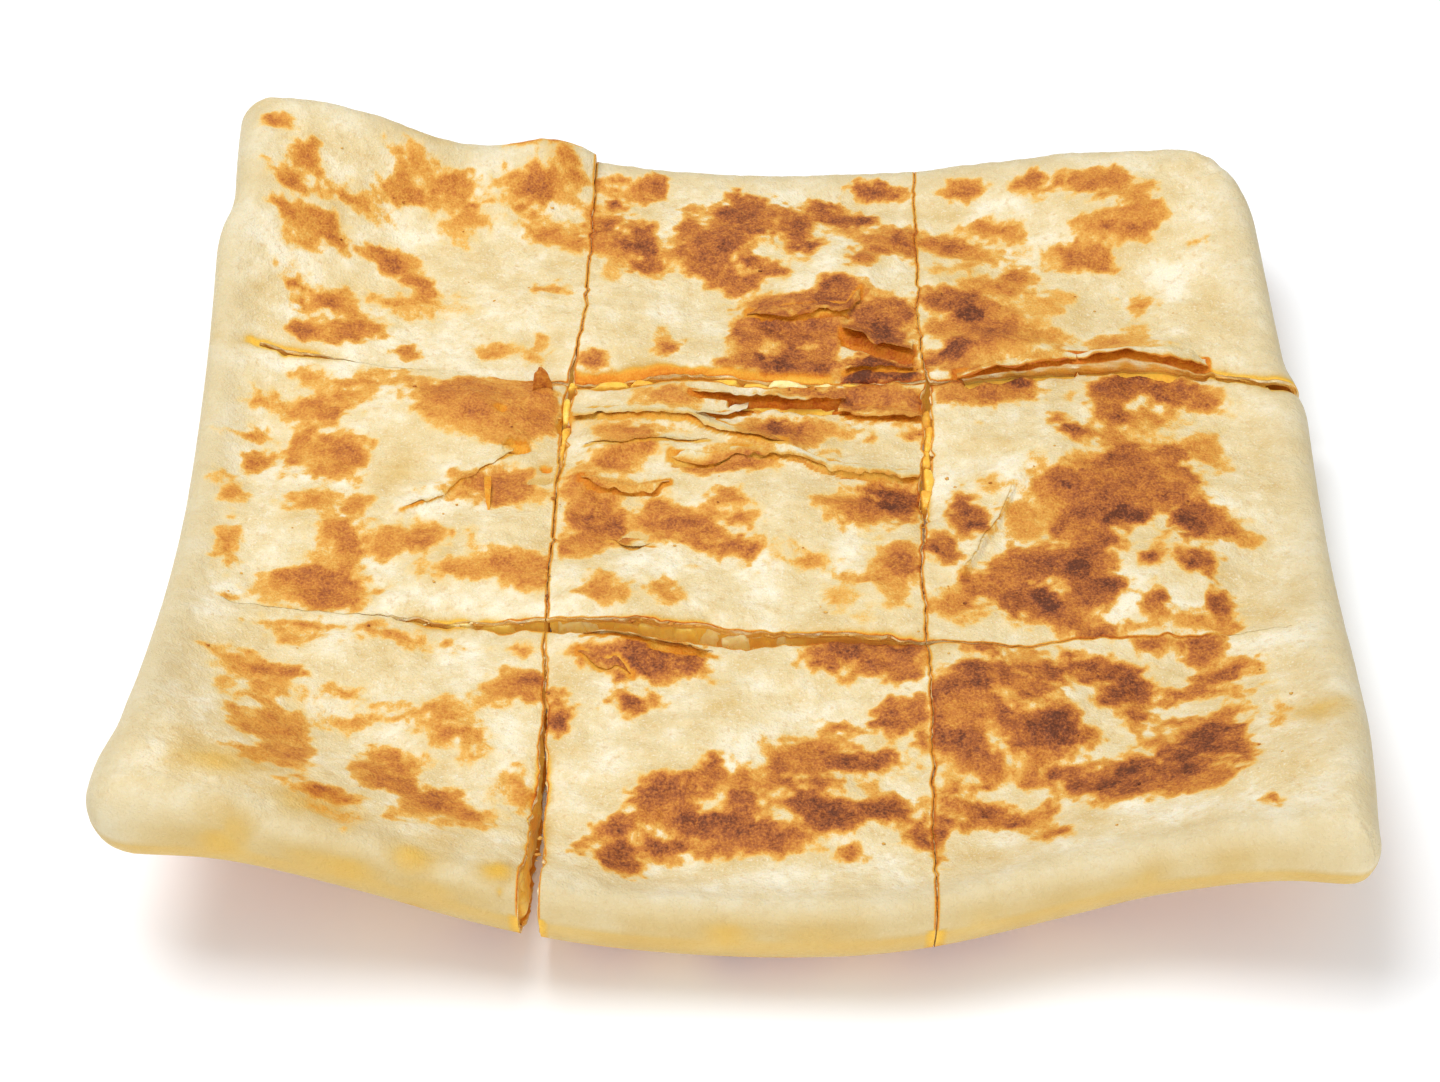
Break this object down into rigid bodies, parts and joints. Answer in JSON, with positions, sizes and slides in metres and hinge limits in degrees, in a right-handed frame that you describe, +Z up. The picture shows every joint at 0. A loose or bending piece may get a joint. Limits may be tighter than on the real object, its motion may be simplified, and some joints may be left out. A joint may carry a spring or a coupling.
{
  "type": "banana murtabak",
  "caption": "Flat square folded fried flatbread with a banana and egg filling, cut into square slices that stay together.",
  "frame": {"origin": "middle of the bounding box in plan, on the flat middle of the underside", "axes": "+Z up out of the browned top, -Y towards the front edge, +X to the right seen from the front"},
  "size_m": [0.1888, 0.188, 0.0317],
  "materials": {
    "dough": "fried dough, pale cream with golden to brown scorched patches",
    "filling": "moist egg and banana, yellow"
  },
  "bodies": {
    "root": {"crust_left": "dough", "crust_back_middle": "dough", "crust_front_middle": "dough", "crust_centre_top": "dough", "crust_centre_bottom": "dough", "crust_right_back": "dough", "crust_right_front": "dough", "filling_front_left": "filling", "filling_middle_left": "filling", "filling_back_left": "filling", "filling_front_middle": "filling", "filling_middle_middle": "filling", "filling_back_middle": "filling", "filling_front_right": "filling", "filling_middle_right": "filling", "filling_back_right": "filling"}
  },
  "joints": []
}
